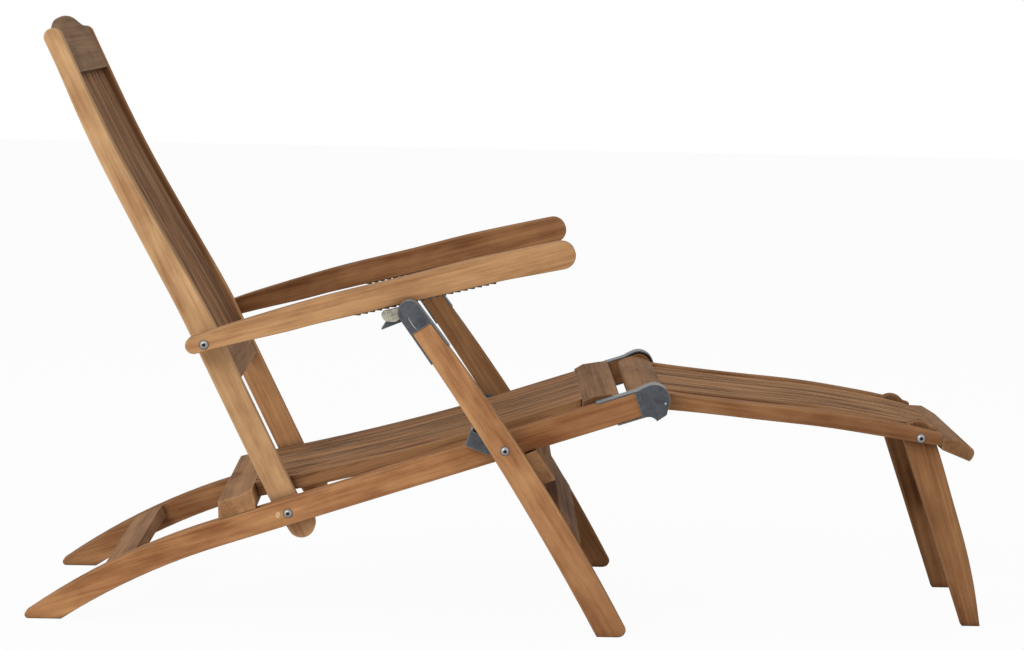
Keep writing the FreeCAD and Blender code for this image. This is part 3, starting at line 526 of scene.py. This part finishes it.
class DECKCHAIR_OT_steel(bpy.types.Operator):
    """Finish the pressed steel, the racks, the castings and the bolts"""
    bl_idname = "deckchair.steel"
    bl_label = "Finish Steel"

    def execute(self, context):
        cast = cast_material("zinc_casting")
        for number, (side, _) in enumerate(SIDES, start=1):
            galvanised = galvanised_material(f"galvanised_{side}", number)
            for family in SHEET_STEEL:
                dress(f"{family}_{side}", galvanised)
            dress(f"catch_block_{side}", cast)
        for node in BOLTS:
            dress(node, bright_material(f"steel_{node}", node_axis(node)))
        plain_steel = bright_material("steel_plain")
        for node in PLAIN_STEEL:
            dress(node, plain_steel)
        return {"FINISHED"}


# Small fittings: places in the side view, a nail's with its distance from the middle plane, in metres

CAP_RIB = ((-0.1623, 0.4966), (-0.1580, 0.4888), (-0.1535, 0.4822), (-0.1470, 0.4763))
CATCH_RIVETS = ((-0.1955, 0.4985), (-0.1890, 0.4965))
PLATE_RIVET = (0.2419, 0.3599)
RIM_NAILS = ((0.1612, 0.3680, 0.207), (0.1645, 0.3690, 0.215), (0.1678, 0.3701, 0.223))
RAIL_PLUG = (-0.3626, 0.1722)

# Distances of the outer faces that they stand on from the middle plane

CAP_FACE, PLATE_FACE, RAIL_FACE, BLOCK_FACE = 0.297, 0.232, 0.230, 0.269

# Their sizes

RIB_WIDTH, RIB_RISE = 0.0022, 0.0009
CATCH_RIVET_SCALE, CATCH_RIVET_RISE = 0.8, 0.001
PLATE_RIVET_RISE, NAIL_RISE = 0.0011, 0.0012
PLUG_RADIUS, PLUG_RISE, PLUG_SQUASH, PLUG_TURN = 0.0035, 0.0004, 1.5, 80.0
PLUG_SLOPE = 70.0
SUNK = 0.0004
DOME_RINGS, DOME_SIDES = 6, 20
BEAD_RINGS, BEAD_SIDES = 25, 12
ASKEW = (0.3, 0.5, 0.81)


def surface(name, rows, material, body):
    """A mesh over a grid of points, rows by columns by 3, whose columns close into rings."""
    count, round_count = rows.shape[:2]
    grid = np.arange(count * round_count).reshape(count, round_count)
    ahead = np.roll(grid, -1, axis=1)
    faces = np.stack((grid[:-1], ahead[:-1], ahead[1:], grid[1:]), axis=-1).reshape(-1, 4)
    mesh = bpy.data.meshes.new(name)
    mesh.from_pydata(rows.reshape(-1, 3).tolist(), [], faces.tolist())
    shape = bmesh.new()
    shape.from_mesh(mesh)
    bmesh.ops.remove_doubles(shape, verts=shape.verts, dist=1e-7)
    bmesh.ops.dissolve_degenerate(shape, edges=shape.edges, dist=1e-8)
    holes = [edge for edge in shape.edges if edge.is_boundary]
    if holes:
        bmesh.ops.holes_fill(shape, edges=holes, sides=0)
    bmesh.ops.recalc_face_normals(shape, faces=shape.faces)
    shape.to_mesh(mesh)
    shape.free()
    mesh.shade_smooth()
    mesh.materials.append(material)
    piece = bpy.data.objects.new(name, mesh)
    bpy.context.collection.objects.link(piece)
    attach(piece, body)


def dome(centre, out, radius, height, squash=1.0, turn=0.0):
    """A low dome on a face: at angle t from its rim the ring's radius is radius cos t and it stands out by
    height sin t. squash widens it along one direction of the face, which turn gives in degrees above level
    in the side view."""
    out = np.array(out, float)
    first = np.cross(out, ASKEW)
    first /= np.linalg.norm(first)
    second = np.cross(out, first)
    lift, round_turn = np.meshgrid(np.linspace(0.0, math.pi / 2, DOME_RINGS),
                                   np.arange(DOME_SIDES) * math.tau / DOME_SIDES, indexing="ij")
    wide = np.cos(lift) * np.cos(round_turn) * radius
    tall = np.cos(lift) * np.sin(round_turn) * radius
    flat = wide[..., None] * first + tall[..., None] * second
    if squash != 1.0:
        along = np.array((math.cos(math.radians(turn)), 0.0, math.sin(math.radians(turn))))
        flat = flat + (flat @ along)[..., None] * along * (squash - 1.0)
    rows = np.array(centre, float) + flat + (height * np.sin(lift))[..., None] * out
    base = rows[:1] - out * SUNK
    return np.concatenate((base, rows))


def bead(places, face, side, width, height):
    """A raised bead on a plate: a half-oval carried along a smooth curve through the places, fading at both
    ends as the sine of the way along."""
    knots = np.array(places)
    way = np.linspace(0.0, 1.0, BEAD_RINGS)
    spots = np.linspace(0.0, 1.0, len(knots))
    fits = [np.polyfit(spots, knots[:, axis], 3) for axis in (0, 1)]
    curve = np.stack([np.polyval(fit, way) for fit in fits], axis=-1)
    tangent = np.gradient(curve, axis=0)
    tangent /= np.linalg.norm(tangent, axis=1, keepdims=True)
    normal = np.stack((-tangent[:, 1], tangent[:, 0]), axis=-1)
    fade = np.sin(math.pi * way) ** 0.6
    turns = np.arange(BEAD_SIDES) * math.tau / BEAD_SIDES
    across = (width / 2) * fade[:, None] * np.cos(turns)
    out = height * fade[:, None] * np.sin(turns)
    rows = np.empty((len(way), len(turns), 3))
    rows[..., 0] = curve[:, :1] + normal[:, :1] * across
    rows[..., 2] = curve[:, 1:] + normal[:, 1:] * across
    rows[..., 1] = side * (face + np.maximum(out, -0.0002))
    return rows


class DECKCHAIR_OT_fittings(bpy.types.Operator):
    """Make the ribs, rivets and nails of the steel parts and the plugs of the wooden ones"""
    bl_idname = "deckchair.fittings"
    bl_label = "Make Fittings"

    def execute(self, context):
        steel = context.scene.deck_chair_steel
        radius = steel.rivet_radius
        shiny = bright_material("steel_fittings")
        plug = teak_material("teak_plugs", lengthwise(PLUG_SLOPE), 77, 1.15, -0.6, 0.3)
        above = (-math.sin(math.radians(SEAT_SLOPE)), 0.0, math.cos(math.radians(SEAT_SLOPE)))
        for side, sign in SIDES:
            out = (0.0, sign, 0.0)
            # A raised bead on the cap; its bright steel, unlike the cap's zinc, paints the highlight along it
            rib = bead(CAP_RIB, CAP_FACE, sign, RIB_WIDTH, RIB_RISE)
            surface(f"cap_rib_{side}", rib, shiny, "leg_frame")
            for number, (x, z) in enumerate(CATCH_RIVETS):
                rivet = dome((x, sign * BLOCK_FACE, z), out, radius * CATCH_RIVET_SCALE, CATCH_RIVET_RISE)
                surface(f"catch_rivet_{number}_{side}", rivet, shiny, "leg_frame")
            rivet = dome((PLATE_RIVET[0], sign * PLATE_FACE, PLATE_RIVET[1]), out, radius, PLATE_RIVET_RISE)
            surface(f"plate_rivet_{side}", rivet, shiny, "frame")
            for number, (x, z, y) in enumerate(RIM_NAILS):
                nail = dome((x, sign * y, z), above, radius, NAIL_RISE)
                surface(f"rim_nail_{number}_{side}", nail, shiny, "frame")
            disc = dome((RAIL_PLUG[0], sign * RAIL_FACE, RAIL_PLUG[1]), out, PLUG_RADIUS, PLUG_RISE,
                        PLUG_SQUASH, PLUG_TURN)
            surface(f"rail_plug_{side}", disc, plug, "frame")
        return {"FINISHED"}


# The stage. Each lamp's width and height, its place and the point that it faces, in metres

KEY_LAMP = ((2.6, 2.0), (-2.3, -3.5, 2.5), (-0.2, 0.0, 0.4))
TOP_LAMP = ((3.5, 3.5), (0.3, 0.6, 4.0), (0.0, 0.0, 0.3))
FLOOR_REACH = 14.0
FLOOR_GLOW = 0.95
DUST_SHADE = 0.985
WHITE = (1.0, 1.0, 1.0, 1.0)
SENSOR_WIDTH = 36.0


def camera_matrix(stage):
    """The camera's place, worked out from its eye point and its yaw, pitch and roll."""
    up = Vector((0.0, 0.0, 1.0))
    level = Vector((math.sin(stage.yaw), math.cos(stage.yaw), 0.0))
    side = Vector((math.cos(stage.yaw), -math.sin(stage.yaw), 0.0))
    ahead = level * math.cos(stage.pitch) - up * math.sin(stage.pitch)
    above = up * math.cos(stage.pitch) + level * math.sin(stage.pitch)
    right = side * math.cos(stage.roll) + above * math.sin(stage.roll)
    above = above * math.cos(stage.roll) - side * math.sin(stage.roll)
    turn = Matrix((right, above, -ahead)).transposed().to_4x4()
    return Matrix.Translation(Vector(stage.eye)) @ turn


def soft_lamp(name, power, size, at, look):
    """A rectangular lamp that stands at one point and faces another."""
    lamp = bpy.data.lights.new(name, "AREA")
    lamp.energy = power
    lamp.shape = "RECTANGLE"
    lamp.size, lamp.size_y = size
    holder = bpy.data.objects.new(name, lamp)
    holder.location = at
    holder.rotation_euler = (Vector(look) - Vector(at)).to_track_quat("-Z", "Y").to_euler()
    bpy.context.collection.objects.link(holder)


def floor_material(stage):
    """White floor. The camera sees most of it as the background's own white, and the rest as it is lit, which
    leaves a faint shadow."""
    material, tree, shader = new_material("floor_white")
    place = tree.add("ShaderNodeTexCoord")
    dust = tree.noise(place.outputs["Object"], 3.0, 2.0)
    base = [c * DUST_SHADE for c in stage.floor]
    link(tree, tree.blend(dust, rgba(stage.floor), rgba(base)), shader.inputs["Base Color"])
    shader.inputs["Roughness"].default_value = 0.9
    shader.inputs["Specular IOR Level"].default_value = 0.1
    glow = tree.add("ShaderNodeEmission", {"Color": WHITE, "Strength": 1.0})
    rays = tree.add("ShaderNodeLightPath")
    seen = tree.math("MULTIPLY", rays.outputs["Is Camera Ray"], FLOOR_GLOW)
    mixed = tree.add("ShaderNodeMixShader", {0: seen, 1: shader.outputs[0], 2: glow.outputs[0]})
    output = next(node for node in material.node_tree.nodes if node.type == "OUTPUT_MATERIAL")
    link(tree, mixed.outputs[0], output.inputs[0])
    return material


class DECKCHAIR_OT_stage(bpy.types.Operator):
    """Set up the floor, the soft lamps, the white background and the camera"""
    bl_idname = "deckchair.stage"
    bl_label = "Set Up Stage"

    def execute(self, context):
        stage = context.scene.deck_chair_stage
        mesh = bpy.data.meshes.new("floor")
        corners = [(x * FLOOR_REACH, y * FLOOR_REACH, 0.0) for x, y in ((-1, -1), (1, -1), (1, 1), (-1, 1))]
        mesh.from_pydata(corners, [], [(0, 1, 2, 3)])
        mesh.materials.append(floor_material(stage))
        floor = bpy.data.objects.new("floor", mesh)
        context.collection.objects.link(floor)

        soft_lamp("key_lamp", stage.key, *KEY_LAMP)
        soft_lamp("top_lamp", stage.top, *TOP_LAMP)

        world = bpy.data.worlds.new("studio")
        world.use_nodes = True
        world.node_tree.nodes.clear()
        tree = Tree(world.node_tree)
        rays = tree.add("ShaderNodeLightPath")
        direct = tree.math("MAXIMUM", rays.outputs["Is Camera Ray"], rays.outputs["Is Glossy Ray"])
        direct = tree.math("MAXIMUM", direct, rays.outputs["Is Transmission Ray"])
        sky = tree.add("ShaderNodeBackground", {"Color": WHITE, "Strength": stage.sky})
        white = tree.add("ShaderNodeBackground", {"Color": WHITE, "Strength": 1.0})
        mixed = tree.add("ShaderNodeMixShader", {0: direct, 1: sky.outputs[0], 2: white.outputs[0]})
        tree.add("ShaderNodeOutputWorld", {"Surface": mixed.outputs[0]})
        context.scene.world = world

        lens = bpy.data.cameras.new("camera")
        lens.lens = stage.lens
        lens.sensor_width = SENSOR_WIDTH
        camera = bpy.data.objects.new("camera", lens)
        camera.matrix_world = camera_matrix(stage)
        context.collection.objects.link(camera)
        context.scene.camera = camera
        context.scene.view_settings.view_transform = "Standard"
        return {"FINISHED"}


class DECKCHAIR_PT_finish(bpy.types.Panel):
    """The chair's finishes, in the order in which they are applied"""
    bl_label = "Deck Chair"
    bl_idname = "DECKCHAIR_PT_finish"
    bl_space_type = "VIEW_3D"
    bl_region_type = "UI"
    bl_category = "Deck Chair"

    def draw(self, context):
        scene = context.scene
        for group in (scene.deck_chair_wood, scene.deck_chair_steel, scene.deck_chair_stage):
            box = self.layout.box()
            for name in group.bl_rna.properties.keys():
                if name not in {"rna_type", "name"}:
                    box.prop(group, name)
        for operator in OPERATORS:
            self.layout.operator(operator.bl_idname)


GROUPS = {
    "deck_chair_wood": DeckChairWood,
    "deck_chair_steel": DeckChairSteel,
    "deck_chair_stage": DeckChairStage,
}
OPERATORS = (
    DECKCHAIR_OT_stage,
    DECKCHAIR_OT_boards,
    DECKCHAIR_OT_cross_boards,
    DECKCHAIR_OT_slats,
    DECKCHAIR_OT_steel,
    DECKCHAIR_OT_fittings,
)


def register():
    for name, group in GROUPS.items():
        bpy.utils.register_class(group)
        setattr(bpy.types.Scene, name, bpy.props.PointerProperty(type=group))
    for operator in OPERATORS:
        bpy.utils.register_class(operator)
    bpy.utils.register_class(DECKCHAIR_PT_finish)


def unregister():
    bpy.utils.unregister_class(DECKCHAIR_PT_finish)
    for operator in reversed(OPERATORS):
        bpy.utils.unregister_class(operator)
    for name, group in GROUPS.items():
        delattr(bpy.types.Scene, name)
        bpy.utils.unregister_class(group)


def main():
    register()
    for operator in OPERATORS:
        family, name = operator.bl_idname.split(".")
        getattr(getattr(bpy.ops, family), name)()


if __name__ == "__main__":
    main()
